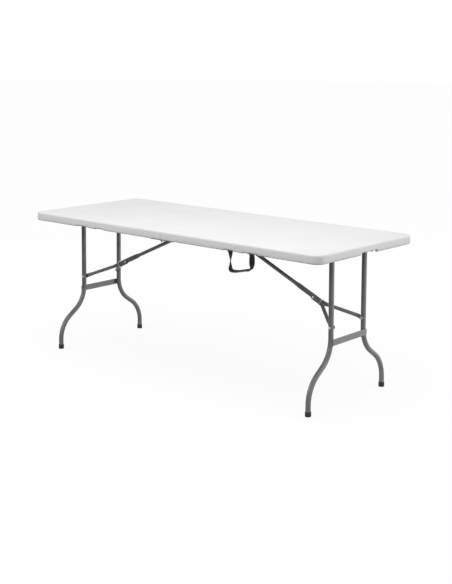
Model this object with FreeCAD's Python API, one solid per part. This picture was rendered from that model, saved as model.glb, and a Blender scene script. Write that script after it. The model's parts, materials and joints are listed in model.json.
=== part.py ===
"""Fold-in-half table: two hollow plastic top halves on steel rails, wishbone legs and
two-piece folding braces with lock rings, a webbing carry handle and an end latch.

Frame: millimetres, +Z up, +X along the long side, -Y the side with the handle.
The origin is on the floor under the middle of the table.
"""
import FreeCAD, Part
import math
import os

V = FreeCAD.Vector
X_AXIS = V(1, 0, 0)
Y_AXIS = V(0, 1, 0)
Z_AXIS = V(0, 0, 1)

# --- General ---------------------------------------------------------------------------
RUN_CLEAR = 0.05           # radial clearance of every running fit
PAST = 5.0                 # how far a cutting tool reaches beyond what it cuts
NEAR = 1e-4                # two measures this close count as equal
NEARLY_ROUND = 0.1         # a round section is drawn this much flatter than it is high

# --- Table top -------------------------------------------------------------------------
LENGTH = 1830.0            # over both halves
WIDTH = 750.0
HEIGHT = 737.0
SKIRT_DEPTH = 41.5         # top surface to the lower rim
RIM_Z = HEIGHT - SKIRT_DEPTH
FLARE = 2.5                # the rim stands out this far beyond the top edge
CORNER_R = 46.0            # plan radius of the four corners at the rim
TOP_EDGE_R = 9.5
RIM_EDGE_R = 3.5
SEAM_GAP = 1.0             # between the two halves
SEAM_CHAMFER = 1.2
SLAB_Z = 724.0             # underside of the slab, where the frame is fastened
SKIRT_WALL = 14.0
SEAM_WALL = 12.0
SKIN = 2.6                 # thickness of the plastic around its hollow core
CORE_EDGE_R = 6.0
HANDLE_NOTCHES = [(394.0, 447.0), (506.0, 586.0)]
NOTCH_RISE = 4.5
END_NOTCH_Y = (-60.0, 63.0)
END_NOTCH_RISE = 9.5

# --- Steel rails under the long sides --------------------------------------------------
RAIL_IN = 337.0            # |y| of the inner face
RAIL_OUT = 357.0
RAIL_Y = (RAIL_IN + RAIL_OUT) / 2
RAIL_X = (16.0, 880.0)
RAIL_WALL = 1.0
RAIL_EDGE_R = 2.5
RAIL_SCREW_X = (150.0, 330.0, 620.0, 850.0)
SCREW_R = 2.2
SCREW_HEAD_R = 5.0
SCREW_HEAD = 2.2
SCREW_CROWN_R = 1.5

# --- Centre hinge ----------------------------------------------------------------------
FOLD_Z = 690.0             # the fold axis lies below the rim, so undersides can meet
HINGE_Y = (341.0, 365.0)
BARREL_R = 5.5
HINGE_PIN_R = 2.5
HINGE_PLATE = 3.0
HINGE_LEAF_END = 78.0
HINGE_LEAF_R = 6.0
KNUCKLE_GAP = 0.5
BARREL_CLEAR = 6.4         # how far a leaf stays from the other leaf's barrel
HINGE_SCREW_X = (32.0, 62.0)
PIN_HEAD_R = 4.0
PIN_HEAD = 1.2
PIN_HEAD_GAP = 0.3         # between a barrel's end and the pin's head

# --- Legs ------------------------------------------------------------------------------
TUBE_WALL = 1.2
PIVOT_Z = 709.0
FOOT_X = 819.5
SPLAY_SLOPE = 0.0207       # outward lean of each leg frame
PIVOT_X = FOOT_X - SPLAY_SLOPE * PIVOT_Z
SPLAY = math.degrees(math.atan(SPLAY_SLOPE))
PIVOT_R = 12.5
TUBE_INSET = 0.5           # each end of the pivot tube stays this far off the rail
LEG_R = 12.0
LEG_Y = 128.0              # the straight upper part
FOOT_Y = 294.0
LEG_BEND_TOP_Z = 320.0
LEG_BEND_R = 148.0
LEG_BEND_DEG = 55.0
CAP_R = 14.0
CAP_HEIGHT = 23.0
CAP_FLOOR = 4.0            # rubber under the tube's end
CAP_EDGE_R = 2.0
CAP_CHAMFER = 1.2
BRACKET = 4.0              # thickness of the pivot brackets
BRACKET_R = 17.0
FLANGE = 2.0
FLANGE_HALF = 40.0
FLANGE_WIDTH = 22.0
BRACKET_SCREW_X = 29.0
CROSSBAR_Z = 302.0
CROSSBAR_HEIGHT = 30.0
CROSSBAR_DEPTH = 6.0
CROSSBAR_Y = 134.0
CROSSBAR_IN = 10.8         # inner face, from the leg's axis
CROSSBAR_EDGE_R = 2.5

# --- Folding braces --------------------------------------------------------------------
ANCHOR_X = 75.0
ANCHOR_Z = 707.0
ANCHOR_R = 8.0
SLEEVE_R = 11.0
SLEEVE_HALF = 20.0
BOLT_Z = 369.0             # where the fork is bolted to the legs
BOLT_X = FOOT_X - SPLAY_SLOPE * BOLT_Z
BOLT_R = 4.0
BOLT_HEAD_R = 6.2
BOLT_HEAD = 4.0
BOLT_CROWN_R = 2.4
LINK_R = 9.0
LINK_OFFSET = 2.7          # link axis above the knuckle rivet
TONGUE_HEIGHT = 25.0
TONGUE_HALF = 3.3          # half thickness of the flattened end
TONGUE_LENGTH = 82.0       # flat part, from the knuckle towards the middle
TONGUE_TAPER = 42.0
TAIL = 38.0                # flat part beyond the knuckle
PLATE_IN = 3.6             # |y| of the fork plates' inner faces
PLATE_OUT = 7.0
PLATE_HEIGHT = 24.6
PLATE_LENGTH = 53.0        # knuckle to where the arms spread
ARM_R = 8.5
ARM_END_IN = 111.0         # |y| of the flattened ends beside the legs
ARM_END_OUT = 115.5
ARM_END_HEIGHT = 20.0
ARM_END_LENGTH = 20.0
ARM_TAPER = 26.0
RIVET_R = 3.0
RIVET_HEAD_R = 6.0
RIVET_HEAD = 2.6
RIVET_CROWN_R = 1.6
NUT_R = 7.5
NUT_HEIGHT = 6.0
NUT_CROWN_R = 2.5
RING_WIRE_R = 1.6
RING_DISTANCE = 47.0       # ring to knuckle, along the fork
RING_HALF_WIDTH = 10.6     # clear opening
RING_ABOVE = 15.5
RING_BELOW = 12.45
RING_CORNER = 5.0
RING_GAP = 4.2             # half of the gap between the wire's two ends

# --- Carry handle ----------------------------------------------------------------------
HANDLE_Y = -347.0
HANDLE_BAR_Z = 690.3
HANDLE_BAR_R = 2.0
HANDLE_ENDS = (410.5, 534.5)
WEB_WIDTH = 25.0
WEB = 1.6
GRIP_Z = (603.5, 620.0)    # the grip hangs lower at its left end
GRIP_BEND_R = 13.0
GRIP_TILT = 20.0           # the near edge of the grip hangs lower
GRIP_SAG = 2.0
OVERLAP_Z = 642.0          # the doubled, sewn end of the webbing stops here
EYE_INSET = 0.3            # the sewn eyes are a little narrower than the webbing
WEB_TOP = 0.5              # the sewn runs start this far below the bar
BAR_PLATE = 1.2
BAR_PLATE_X = 26.0         # half length
BAR_PLATE_Y = 8.0          # half width
BAR_PLATE_R = 3.0
BAR_SCREW_X = 20.5         # from the middle of the plate
BAR_END = 0.8              # the bar's end stands out of its ear
EAR = 2.0
EAR_IN = 13.2
EAR_R = 3.4
RUN_SECTIONS = 9           # sections that shape each stretch of the strap
BEND_SECTIONS = 3
GRIP_SECTIONS = 4

# --- End latch -------------------------------------------------------------------------
LATCH_Y = 49.0
LATCH_Z = 711.0
LATCH_X = (894.6, 897.2)
LATCH_BOSS_R = 8.0
LATCH_REACH = 42.0
LATCH_ARM = 9.0
LATCH_TIP = 6.0            # arm beyond the middle of the hook's throat
LATCH_TAB_Z = 697.5
LATCH_TAB_HALF = 7.0
LATCH_TAB_R = 3.0
THROAT_R = 3.2
LATCH_SHOULDER_R = 3.0
LATCH_GAP = 0.4            # the lever turns freely between the head and the collar
LATCH_HEAD_R = 5.5
LATCH_HEAD = 2.6
LATCH_CROWN_R = 1.2
KEEPER_REACH = 7.5
KEEPER_HEAD = 2.0
KEEPER_BASE = 2.0
KEEPER_BASE_R = 7.0

HALF_L = LENGTH / 2
HALF_W = WIDTH / 2


# --- Shape helpers ---------------------------------------------------------------------
def box(x, y, z):
    """A box from three (low, high) pairs."""
    return Part.makeBox(x[1] - x[0], y[1] - y[0], z[1] - z[0], V(x[0], y[0], z[0]))


def rod_x(x0, x1, y, z, r):
    return Part.makeCylinder(r, x1 - x0, V(x0, y, z), X_AXIS)


def rod_y(x, y0, y1, z, r):
    return Part.makeCylinder(r, y1 - y0, V(x, y0, z), Y_AXIS)


def rod_z(x, y, z0, z1, r):
    return Part.makeCylinder(r, z1 - z0, V(x, y, z0), Z_AXIS)


def tube_y(x, y0, y1, z, r_out, r_in):
    return rod_y(x, y0, y1, z, r_out).cut(rod_y(x, y0 - PAST, y1 + PAST, z, r_in))


def mirror_x(shape):
    return shape.mirror(V(0, 0, 0), X_AXIS)


def mirror_y(shape):
    return shape.mirror(V(0, 0, 0), Y_AXIS)


def both_sides(shape):
    return [shape, mirror_y(shape)]


def joined(shapes):
    return shapes[0].fuse(shapes[1:]).removeSplitter()


def edges_along(shape, direction):
    """Straight edges parallel to a direction."""
    found = []
    for edge in shape.Edges:
        if isinstance(edge.Curve, Part.Line):
            if edge.Curve.Direction.cross(direction).Length < NEAR:
                found.append(edge)
    return found


def edges_at_z(shape, z):
    return [e for e in shape.Edges if abs(e.BoundBox.ZMin - z) + abs(e.BoundBox.ZMax - z) < NEAR]


def rims_at(shape, axis, place):
    """Round edges square to an axis, where their middle is at 'place' along it."""
    return [e for e in shape.Edges if abs(e.BoundBox.Center.dot(axis) - place) < NEAR
            and not isinstance(e.Curve, Part.Line)]


def pan_head(x, y, z_face, shank_to):
    """A screw driven upwards: a rounded head under z_face and a shank up to shank_to."""
    head = rod_z(x, y, z_face - SCREW_HEAD, z_face, SCREW_HEAD_R)
    head = head.makeFillet(SCREW_CROWN_R, edges_at_z(head, z_face - SCREW_HEAD))
    return head.fuse(rod_z(x, y, z_face, shank_to, SCREW_R)).removeSplitter()


def stadium(centre, along, height, thick, up):
    """A flat-sided round-ended section, square to 'along': 'up' carries its height."""
    side = along.cross(up).normalize()
    r = thick / 2
    rise = up * max(height / 2 - r, 0.05)
    ends = []
    for sign in (1, -1):
        low = centre + side * r * sign - rise * sign
        high = centre + side * r * sign + rise * sign
        crown = centre + rise * sign + up * r * sign
        over = centre - side * r * sign + rise * sign
        ends.append(Part.LineSegment(low, high).toShape())
        ends.append(Part.Arc(high, crown, over).toShape())
    return Part.Wire(ends)


def swept_tube(edges, start, direction, r_out, r_in):
    """A round tube along tangent edges; a solid bar where r_in is 0."""
    path = Part.Wire(edges)
    skins = []
    for r in (r_out, r_in):
        if r:
            rim = Part.Wire([Part.makeCircle(r, start, direction)])
            skins.append(path.makePipeShell([rim], True, False))
    return skins[0].cut(skins[1]) if r_in else skins[0]


# --- Table top -------------------------------------------------------------------------
def plan_wire(inset, z, corner):
    """The rounded rectangle of both halves together, at one height."""
    x = HALF_L - inset
    y = HALF_W - inset
    r = corner
    k = r * (1 - math.sqrt(0.5))
    edges = []
    for sx, sy in ((1, 1), (-1, 1), (-1, -1), (1, -1)):
        a = V(sx * x, sy * (y - r), z)
        b = V(sx * (x - r), sy * y, z)
        mid = V(sx * (x - k), sy * (y - k), z)
        first, last = (a, b) if sx * sy > 0 else (b, a)
        edges.append((first, mid, last))
    outline = []
    for i, (first, mid, last) in enumerate(edges):
        outline.append(Part.Arc(first, mid, last).toShape())
        outline.append(Part.LineSegment(last, edges[(i + 1) % 4][0]).toShape())
    return Part.Wire(outline)


def plan_block(inset, z0, z1, corner):
    return Part.Face(plan_wire(inset, z0, corner)).extrude(V(0, 0, z1 - z0))


def right_side():
    """Everything on the right of the fold seam."""
    x = (SEAM_GAP / 2, HALF_L + PAST)
    return box(x, (-HALF_W - PAST, HALF_W + PAST), (0, HEIGHT + PAST))


def outer_form():
    """Both halves' outside, with the flared skirt and its rounded edges."""
    rim = plan_wire(0, RIM_Z, CORNER_R)
    top = plan_wire(FLARE, HEIGHT, CORNER_R - FLARE)
    form = Part.makeLoft([rim, top], True, True)
    form = form.makeFillet(TOP_EDGE_R, edges_at_z(form, HEIGHT))
    return form.makeFillet(RIM_EDGE_R, edges_at_z(form, RIM_Z))


def underside_pocket(grow):
    """The space under one half's slab, enlarged by 'grow' on every side."""
    inset = SKIRT_WALL - grow
    pocket = plan_block(inset, RIM_Z - PAST, SLAB_Z + grow, CORNER_R - inset)
    return pocket.common(box((SEAM_WALL - grow, HALF_L), (-HALF_W, HALF_W), (0, HEIGHT)))


def rim_notches(grow):
    """Cut-outs in the rim: two by the handle straps and one in the end skirt."""
    low = RIM_Z - PAST
    cuts = []
    for x0, x1 in HANDLE_NOTCHES:
        front = (-HALF_W - PAST, -HALF_W + SKIRT_WALL + PAST)
        cuts.append(box((x0 - grow, x1 + grow), front, (low, RIM_Z + NOTCH_RISE + grow)))
    y = (END_NOTCH_Y[0] - grow, END_NOTCH_Y[1] + grow)
    end = (HALF_L - SKIRT_WALL - PAST, HALF_L + PAST)
    cuts.append(box(end, y, (low, RIM_Z + END_NOTCH_RISE + grow)))
    return cuts


def hollow_core():
    """The air space inside one half's blow-moulded plastic."""
    inset = FLARE + SKIN
    core = plan_block(inset, RIM_Z + SKIN, HEIGHT - SKIN, CORNER_R - inset)
    core = core.makeFillet(CORE_EDGE_R, edges_at_z(core, HEIGHT - SKIN))
    core = core.common(box((SEAM_GAP / 2 + SKIN, HALF_L), (-HALF_W, HALF_W), (0, HEIGHT)))
    core = core.cut(underside_pocket(SKIN))
    return core.cut(rim_notches(SKIN))


def seam_chamfer():
    wedge = box((-SEAM_CHAMFER, SEAM_CHAMFER), (-HALF_W, HALF_W), (-SEAM_CHAMFER, SEAM_CHAMFER))
    wedge.rotate(V(0, 0, 0), Y_AXIS, 45)
    wedge.translate(V(SEAM_GAP / 2, 0, HEIGHT))
    return wedge


def tabletop():
    """The right half; the left one is its mirror image, from the same pair of moulds."""
    half = outer_form().common(right_side())
    half = half.cut([underside_pocket(0), seam_chamfer()] + rim_notches(0))
    return half.cut(hollow_core())


# --- Rails and their screws ------------------------------------------------------------
def rail(extra_holes):
    """The front rail of the right half, with holes for everything screwed to it."""
    outer = box(RAIL_X, (-RAIL_OUT, -RAIL_IN), (RIM_Z, SLAB_Z))
    inner = box((RAIL_X[0] - PAST, RAIL_X[1] + PAST),
                (-RAIL_OUT + RAIL_WALL, -RAIL_IN - RAIL_WALL),
                (RIM_Z + RAIL_WALL, SLAB_Z - RAIL_WALL))
    outer = outer.makeFillet(RAIL_EDGE_R, edges_along(outer, X_AXIS))
    inner = inner.makeFillet(RAIL_EDGE_R - RAIL_WALL, edges_along(inner, X_AXIS))
    holes = [rod_z(x, -RAIL_Y, RIM_Z - PAST, SLAB_Z + PAST, SCREW_R) for x in RAIL_SCREW_X]
    holes += [rod_z(x, -RAIL_Y, RIM_Z - PAST, RIM_Z + PAST, SCREW_R) for x in extra_holes]
    return outer.cut([inner] + holes)


def rail_screws():
    return [pan_head(x, side * RAIL_Y, RIM_Z, SLAB_Z)
            for x in RAIL_SCREW_X for side in (1, -1)]


# --- Centre hinge ----------------------------------------------------------------------
def hinge_leaf(side, y0, y1, pin_fit):
    """One leaf of the rear hinge; side is +1 for the right leaf, y0..y1 its knuckle."""
    plate_z = (RIM_Z - HINGE_PLATE, RIM_Z)
    plate = box((BARREL_CLEAR, HINGE_LEAF_END), HINGE_Y, plate_z)
    plate = plate.makeFillet(HINGE_LEAF_R, [e for e in edges_along(plate, Z_AXIS)
                                            if e.BoundBox.XMin > HINGE_LEAF_END - NEAR])
    arm = box((0, BARREL_CLEAR), (y0, y1), plate_z)
    barrel = rod_y(0, y0, y1, FOLD_Z, BARREL_R)
    leaf = joined([plate, arm, barrel])
    holes = [rod_z(x, RAIL_Y, RIM_Z - PAST, RIM_Z + PAST, SCREW_R) for x in HINGE_SCREW_X]
    bore = rod_y(0, y0 - PAST, y1 + PAST, FOLD_Z, HINGE_PIN_R + pin_fit)
    leaf = leaf.cut([bore] + holes)
    return leaf if side > 0 else mirror_x(leaf)


def hinge_pin():
    """The rear hinge pin with its two peened heads."""
    y0, y1 = HINGE_Y
    near = PIN_HEAD_GAP
    far = near + PIN_HEAD
    heads = [rod_y(0, y0 - far, y0 - near, FOLD_Z, PIN_HEAD_R),
             rod_y(0, y1 + near, y1 + far, FOLD_Z, PIN_HEAD_R)]
    return joined([rod_y(0, y0 - far, y1 + far, FOLD_Z, HINGE_PIN_R)] + heads)


def hinge_screws():
    face = RIM_Z - HINGE_PLATE
    return [pan_head(x, side * RAIL_Y, face, RIM_Z + RAIL_WALL)
            for x in HINGE_SCREW_X for side in (1, -1)]


# --- Leg frames, built upright about the pivot and then splayed ------------------------
def splayed(shape):
    """From the leg frame's own place, pivot axis at x = 0, to the right end of the table."""
    moved = shape.copy()
    moved.rotate(V(0, 0, PIVOT_Z), Y_AXIS, -SPLAY)
    moved.translate(V(PIVOT_X, 0, 0))
    return moved


def leg_path():
    """Centre line of the front leg: straight, out through two bends, straight to the foot."""
    turn = math.radians(LEG_BEND_DEG)
    r = LEG_BEND_R
    slant = ((FOOT_Y - LEG_Y) - 2 * r * (1 - math.cos(turn))) / math.sin(turn)

    def on_first(angle):
        return V(0, -LEG_Y - r * (1 - math.cos(angle)), LEG_BEND_TOP_Z - r * math.sin(angle))

    top = V(0, -LEG_Y, PIVOT_Z)
    a0, a1, a2 = on_first(0), on_first(turn / 2), on_first(turn)
    b0 = a2 + V(0, -math.sin(turn), -math.cos(turn)) * slant
    drop = r * math.sin(turn)

    def on_second(angle):
        y = -FOOT_Y + r * (1 - math.cos(angle))
        return V(0, y, b0.z - drop + r * math.sin(angle))

    foot = V(0, -FOOT_Y, CAP_FLOOR)
    return [Part.LineSegment(top, a0).toShape(), Part.Arc(a0, a1, a2).toShape(),
            Part.LineSegment(a2, b0).toShape(),
            Part.Arc(b0, on_second(turn / 2), on_second(0)).toShape(),
            Part.LineSegment(on_second(0), foot).toShape()]


def bolt_hole(radius):
    """The brace bolt's axis in the leg frame's own place."""
    drop = (PIVOT_Z - BOLT_Z) / math.cos(math.radians(SPLAY))
    return rod_y(0, -LEG_Y - 2 * LEG_R, -LEG_Y + 2 * LEG_R, PIVOT_Z - drop, radius)


def leg():
    top = V(0, -LEG_Y, PIVOT_Z)
    tube = swept_tube(leg_path(), top, V(0, 0, -1), LEG_R, LEG_R - TUBE_WALL)
    saddle = rod_y(0, -LEG_Y - LEG_R - PAST, -LEG_Y + LEG_R + PAST, PIVOT_Z, PIVOT_R)
    return splayed(tube.cut([saddle, bolt_hole(BOLT_R)]))


def foot_cap():
    cup = rod_z(0, -FOOT_Y, -PAST, CAP_HEIGHT, CAP_R)
    cup = cup.makeFillet(CAP_EDGE_R, edges_at_z(cup, CAP_HEIGHT))
    cup = cup.cut(rod_z(0, -FOOT_Y, CAP_FLOOR, CAP_HEIGHT + PAST, LEG_R))
    reach = 2 * CAP_R
    floor = box((FOOT_X - reach, FOOT_X + reach), (-FOOT_Y - reach, -FOOT_Y + reach),
                (-2 * PAST, 0))
    cup = splayed(cup).cut(floor)
    return cup.makeChamfer(CAP_CHAMFER, edges_at_z(cup, 0))


def crossbar():
    x = (CROSSBAR_IN, CROSSBAR_IN + CROSSBAR_DEPTH)
    z = (CROSSBAR_Z - CROSSBAR_HEIGHT / 2, CROSSBAR_Z + CROSSBAR_HEIGHT / 2)
    bar = box(x, (-CROSSBAR_Y, CROSSBAR_Y), z)
    bar = bar.makeFillet(CROSSBAR_EDGE_R, edges_along(bar, Y_AXIS))
    legs = [rod_z(0, side * LEG_Y, z[0] - PAST, z[1] + PAST, LEG_R) for side in (1, -1)]
    bends = swept_tube(leg_path(), V(0, -LEG_Y, PIVOT_Z), V(0, 0, -1), LEG_R, 0)
    return splayed(bar.cut(legs + both_sides(bends)))


def pivot_tube():
    end = RAIL_IN - TUBE_INSET
    return tube_y(PIVOT_X, -end, end, PIVOT_Z, PIVOT_R, PIVOT_R - TUBE_WALL)


def leg_bolt():
    """Round-headed bolt through the front leg, ending flush with the leg's inner side."""
    z = PIVOT_Z - (PIVOT_Z - BOLT_Z) / math.cos(math.radians(SPLAY))
    outer = -LEG_Y - LEG_R
    head = rod_y(0, outer - BOLT_HEAD, outer, z, BOLT_HEAD_R)
    head = head.makeFillet(BOLT_CROWN_R, rims_at(head, Y_AXIS, outer - BOLT_HEAD))
    shank = rod_y(0, outer, -LEG_Y + LEG_R, z, BOLT_R)
    return splayed(joined([head, shank]))


def pivot_bracket():
    """Front bracket: a plate on the rail with the pivot hole and a flange on the slab."""
    plate_y = (-RAIL_IN, -RAIL_IN + BRACKET)
    plate_x = (PIVOT_X - BRACKET_R, PIVOT_X + BRACKET_R)
    lower_end = rod_y(PIVOT_X, plate_y[0], plate_y[1], PIVOT_Z, BRACKET_R)
    plate = joined([lower_end.common(box(plate_x, plate_y, (0, PIVOT_Z))),
                    box(plate_x, plate_y, (PIVOT_Z, SLAB_Z))])
    flange = box((PIVOT_X - FLANGE_HALF, PIVOT_X + FLANGE_HALF),
                 (-RAIL_IN, -RAIL_IN + BRACKET + FLANGE_WIDTH), (SLAB_Z - FLANGE, SLAB_Z))
    bracket = joined([plate, flange])
    holes = [rod_z(x, bracket_screw_y(), SLAB_Z - PAST, SLAB_Z + PAST, SCREW_R)
             for x in bracket_screw_x()]
    hole = rod_y(PIVOT_X, plate_y[0] - PAST, plate_y[1] + PAST, PIVOT_Z, PIVOT_R + RUN_CLEAR)
    return bracket.cut([hole] + holes)


def bracket_screw_x():
    return (PIVOT_X - BRACKET_SCREW_X, PIVOT_X + BRACKET_SCREW_X)


def bracket_screw_y():
    return -RAIL_IN + BRACKET + FLANGE_WIDTH / 2


def bracket_screws():
    screws = [pan_head(x, bracket_screw_y(), SLAB_Z - FLANGE, SLAB_Z) for x in bracket_screw_x()]
    return screws + [mirror_y(s) for s in screws]


# --- Folding brace of the right half ---------------------------------------------------
ANCHOR = V(ANCHOR_X, 0, ANCHOR_Z)
BOLT = V(BOLT_X, 0, BOLT_Z)


def folded_bolt():
    """Where the brace bolt lies when the leg is folded flat under the top."""
    folded = FreeCAD.Rotation(Y_AXIS, 90 + SPLAY)
    pivot = V(PIVOT_X, 0, PIVOT_Z)
    return pivot + folded.multVec(BOLT - pivot)


# The brace lies straight both with the leg open and with the leg folded, which fixes
# the lengths of its two parts.
OPEN_SPAN = (BOLT - ANCHOR).Length
FOLDED_SPAN = (folded_bolt() - ANCHOR).Length
LINK_LENGTH = (OPEN_SPAN + FOLDED_SPAN) / 2
BRACE_DIR = (BOLT - ANCHOR) * (1 / OPEN_SPAN)
BRACE_UP = BRACE_DIR.cross(Y_AXIS)          # square to the brace, upwards
KNUCKLE = ANCHOR + BRACE_DIR * LINK_LENGTH


def along_brace(distance, y, rise):
    """A point measured from the knuckle along the brace, towards the leg."""
    return KNUCKLE + BRACE_DIR * distance + V(0, y, 0) + BRACE_UP * rise


def rod_at_knuckle(y0, y1, r):
    return rod_y(KNUCKLE.x, y0, y1, KNUCKLE.z, r)


def anchor_tube():
    return tube_y(ANCHOR_X, -RAIL_IN, RAIL_IN, ANCHOR_Z, ANCHOR_R, ANCHOR_R - TUBE_WALL)


def link_sleeve():
    return tube_y(ANCHOR_X, -SLEEVE_HALF, SLEEVE_HALF, ANCHOR_Z, SLEEVE_R, ANCHOR_R + RUN_CLEAR)


def upper_link():
    """Round tube welded to the sleeve and pressed flat towards the knuckle."""
    tongue = TONGUE_HALF * 2
    top = along_brace(-LINK_LENGTH, 0, 0)
    axis = (along_brace(0, 0, LINK_OFFSET) - top).normalize()
    up = axis.cross(Y_AXIS)

    def section(distance, height, thick):
        centre = top + axis * (LINK_LENGTH + distance)
        return stadium(centre, axis, height, thick, up)

    round_end = -TONGUE_LENGTH - TONGUE_TAPER
    sections = [section(-LINK_LENGTH, 2 * LINK_R, 2 * LINK_R - NEARLY_ROUND),
                section(round_end, 2 * LINK_R, 2 * LINK_R - NEARLY_ROUND),
                section(-TONGUE_LENGTH, TONGUE_HEIGHT, tongue),
                section(TAIL, TONGUE_HEIGHT, tongue)]
    link = Part.makeLoft(sections, True, True)
    sleeve = rod_y(ANCHOR_X, -SLEEVE_HALF, SLEEVE_HALF, ANCHOR_Z, SLEEVE_R)
    bore = Part.makeCylinder(LINK_R - TUBE_WALL, LINK_LENGTH + round_end, top, axis)
    rivet_hole = rod_at_knuckle(-2 * TONGUE_HALF, 2 * TONGUE_HALF, RIVET_R + RUN_CLEAR)
    return link.cut([sleeve, bore, rivet_hole])


def fork_arm():
    """The front arm: a plate beside the tongue, a tube, and a flattened end by the leg."""
    mid_plate = -(PLATE_IN + PLATE_OUT) / 2
    mid_end = -(ARM_END_IN + ARM_END_OUT) / 2
    plate = PLATE_OUT - PLATE_IN
    end = ARM_END_OUT - ARM_END_IN
    reach = (BOLT - KNUCKLE).Length
    bend_in = PLATE_LENGTH
    bend_out = reach - ARM_END_LENGTH
    slope = (mid_end - mid_plate) / (bend_out - bend_in)
    spread = (BRACE_DIR + Y_AXIS * slope).normalize()

    def on_arm(distance):
        return along_brace(distance, mid_plate + slope * (distance - bend_in), 0)

    def section(centre, along, height, thick):
        return stadium(centre, along, height, thick, BRACE_UP)

    round_from = on_arm(bend_in + ARM_TAPER)
    round_to = on_arm(bend_out - ARM_TAPER)
    sections = [section(along_brace(0, mid_plate, 0), BRACE_DIR, PLATE_HEIGHT, plate),
                section(along_brace(bend_in, mid_plate, 0), BRACE_DIR, PLATE_HEIGHT, plate),
                section(round_from, spread, 2 * ARM_R, 2 * ARM_R - NEARLY_ROUND),
                section(round_to, spread, 2 * ARM_R, 2 * ARM_R - NEARLY_ROUND),
                section(along_brace(bend_out, mid_end, 0), BRACE_DIR, ARM_END_HEIGHT, end),
                section(along_brace(reach, mid_end, 0), BRACE_DIR, ARM_END_HEIGHT, end)]
    arm = Part.makeLoft(sections, True, True)
    eyes = [rod_at_knuckle(-PLATE_OUT, -PLATE_IN, PLATE_HEIGHT / 2),
            rod_y(BOLT_X, -ARM_END_OUT, -ARM_END_IN, BOLT_Z, ARM_END_HEIGHT / 2)]
    bore = Part.makeCylinder(ARM_R - TUBE_WALL, (round_to - round_from).Length, round_from, spread)
    holes = [rod_at_knuckle(-PLATE_OUT - PAST, 0, RIVET_R),
             rod_y(BOLT_X, -ARM_END_OUT - PAST, -ARM_END_IN + PAST, BOLT_Z, BOLT_R)]
    return joined([arm] + eyes).cut([bore] + holes)


def arm_nut():
    """Domed nut and the end of the bolt in the front arm's eye."""
    nut = rod_y(BOLT_X, -ARM_END_IN, -ARM_END_IN + NUT_HEIGHT, BOLT_Z, NUT_R)
    nut = nut.makeFillet(NUT_CROWN_R, rims_at(nut, Y_AXIS, -ARM_END_IN + NUT_HEIGHT))
    return joined([nut, rod_y(BOLT_X, -ARM_END_OUT, -ARM_END_IN, BOLT_Z, BOLT_R)])


def knuckle_rivet():
    parts = [rod_at_knuckle(-PLATE_OUT, PLATE_OUT, RIVET_R)]
    for y0, outer in ((-PLATE_OUT - RIVET_HEAD, -1), (PLATE_OUT, 1)):
        head = rod_at_knuckle(y0, y0 + RIVET_HEAD, RIVET_HEAD_R)
        face = outer * (PLATE_OUT + RIVET_HEAD)
        parts.append(head.makeFillet(RIVET_CROWN_R, rims_at(head, Y_AXIS, face)))
    return joined(parts)


def lock_ring():
    """A bent wire round the brace; its two ends leave a gap that the tongue passes."""
    side = RING_HALF_WIDTH + RING_WIRE_R
    top = RING_ABOVE + RING_WIRE_R
    low = -RING_BELOW - RING_WIRE_R
    k = RING_CORNER * (1 - math.sqrt(0.5))

    def at(y, rise):
        return along_brace(RING_DISTANCE, y, rise)

    def corner(y, rise):
        sy = math.copysign(1, y)
        sz = math.copysign(1, rise)
        return [at(y - sy * RING_CORNER, rise), at(y - sy * k, rise - sz * k),
                at(y, rise - sz * RING_CORNER)]

    turns = [corner(side, low), corner(side, top)[::-1], corner(-side, top),
             corner(-side, low)[::-1]]
    edges = []
    at_point = at(RING_GAP, low)
    for first, mid, last in turns:
        edges.append(Part.LineSegment(at_point, first).toShape())
        edges.append(Part.Arc(first, mid, last).toShape())
        at_point = last
    edges.append(Part.LineSegment(at_point, at(-RING_GAP, low)).toShape())
    return swept_tube(edges, at(RING_GAP, low), Y_AXIS, RING_WIRE_R, 0)


# --- Carry handle ----------------------------------------------------------------------
def smooth(t):
    return t * t * (3 - 2 * t)


def web_section(centre, along, wide, thick):
    """The webbing's rectangle, square to 'along' and as near to 'wide' as that allows."""
    wide = (wide - along * wide.dot(along)).normalize()
    w = wide * (WEB_WIDTH / 2)
    t = along.cross(wide) * (thick / 2)
    corners = [centre - w - t, centre + w - t, centre + w + t, centre - w + t]
    return Part.makePolygon(corners + corners[:1])


def strap_run(x, grip_z, along, turn, twist):
    """Sections from a bar down to the grip, over which the width turns by 'twist'."""
    top = HANDLE_BAR_Z - HANDLE_BAR_R - RUN_CLEAR - WEB_TOP
    low = grip_z + GRIP_BEND_R
    sections = []
    for i in range(RUN_SECTIONS):
        done = i / (RUN_SECTIONS - 1)
        z = top + (low - top) * done
        angle = math.radians(turn + twist * done)
        wide = V(math.cos(angle), math.sin(angle), 0)
        thick = 2 * WEB if z > OVERLAP_Z else WEB
        sections.append(web_section(V(x, HANDLE_Y, z), along, wide, thick))
    return sections


def grip_section(x, z, slope, tilt):
    """A section of the bottom run; 'tilt' lowers its near edge."""
    along = V(math.cos(slope), 0, math.sin(slope))
    up = V(-math.sin(slope), 0, math.cos(slope))
    wide = Y_AXIS * -math.cos(tilt) - up * math.sin(tilt)
    return web_section(V(x, HANDLE_Y, z), along, wide, WEB)


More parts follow.
